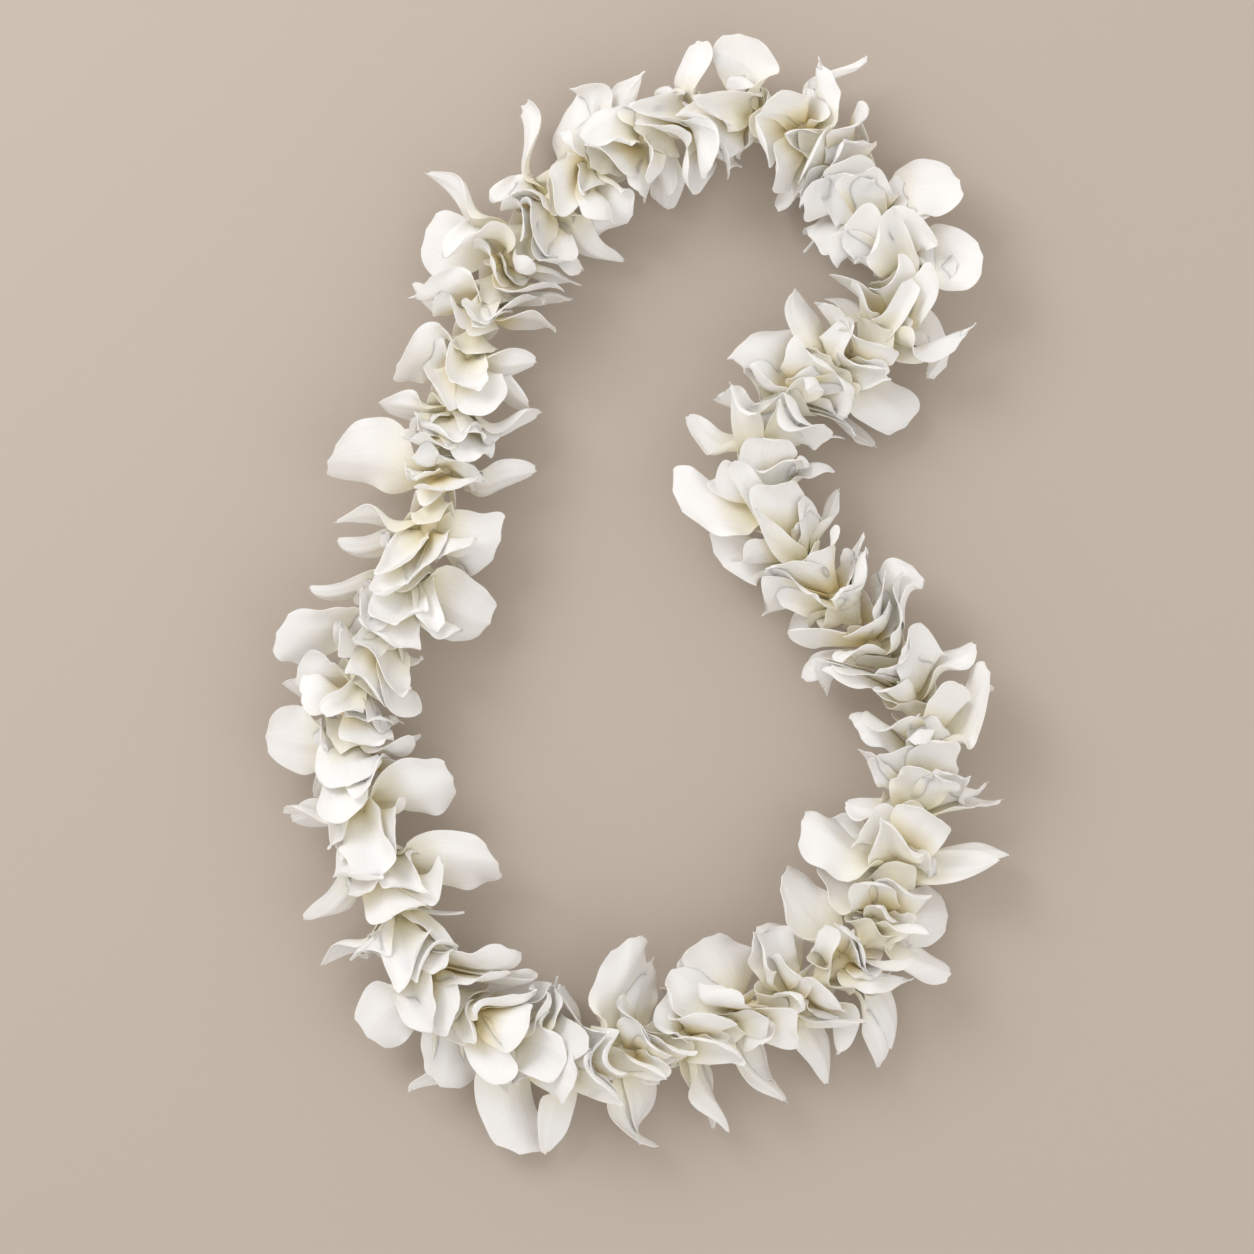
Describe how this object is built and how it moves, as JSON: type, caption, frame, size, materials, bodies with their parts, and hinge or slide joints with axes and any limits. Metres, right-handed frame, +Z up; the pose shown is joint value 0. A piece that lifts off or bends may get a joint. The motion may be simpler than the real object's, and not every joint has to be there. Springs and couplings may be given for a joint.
{
  "type": "flower lei",
  "caption": "Lei of whole white orchid blooms threaded front to back on one closed hidden string, lying on a table in an uneven loop.",
  "frame": {"origin": "middle of the bounding box in plan, on the table that the lei lies on", "axes": "+Z up from the table, +Y along the loop's length, towards its narrow end, +X to the right as seen from above with +Y away"},
  "size_m": [0.2919, 0.439, 0.0523],
  "materials": {
    "petals": "fresh white orchid petals, soft waxy sheen, creamy yellow-green towards the throat",
    "string": "undyed twisted cotton thread"
  },
  "bodies": {
    "root": {"string": "string", "bloom_01": "petals", "bloom_02": "petals", "bloom_03": "petals", "bloom_04": "petals", "bloom_05": "petals", "bloom_06": "petals", "bloom_07": "petals", "bloom_08": "petals", "bloom_09": "petals", "bloom_10": "petals", "bloom_11": "petals", "bloom_12": "petals", "bloom_13": "petals", "bloom_14": "petals", "bloom_15": "petals", "bloom_16": "petals", "bloom_17": "petals", "bloom_18": "petals", "bloom_19": "petals", "bloom_20": "petals", "bloom_21": "petals", "bloom_22": "petals", "bloom_23": "petals", "bloom_24": "petals", "bloom_25": "petals", "bloom_26": "petals", "bloom_27": "petals", "bloom_28": "petals", "bloom_29": "petals", "bloom_30": "petals", "bloom_31": "petals", "bloom_32": "petals", "bloom_33": "petals", "bloom_34": "petals", "bloom_35": "petals", "bloom_36": "petals", "bloom_37": "petals", "bloom_38": "petals", "bloom_39": "petals", "bloom_40": "petals", "bloom_41": "petals", "bloom_42": "petals", "bloom_43": "petals", "bloom_44": "petals"}
  },
  "joints": []
}
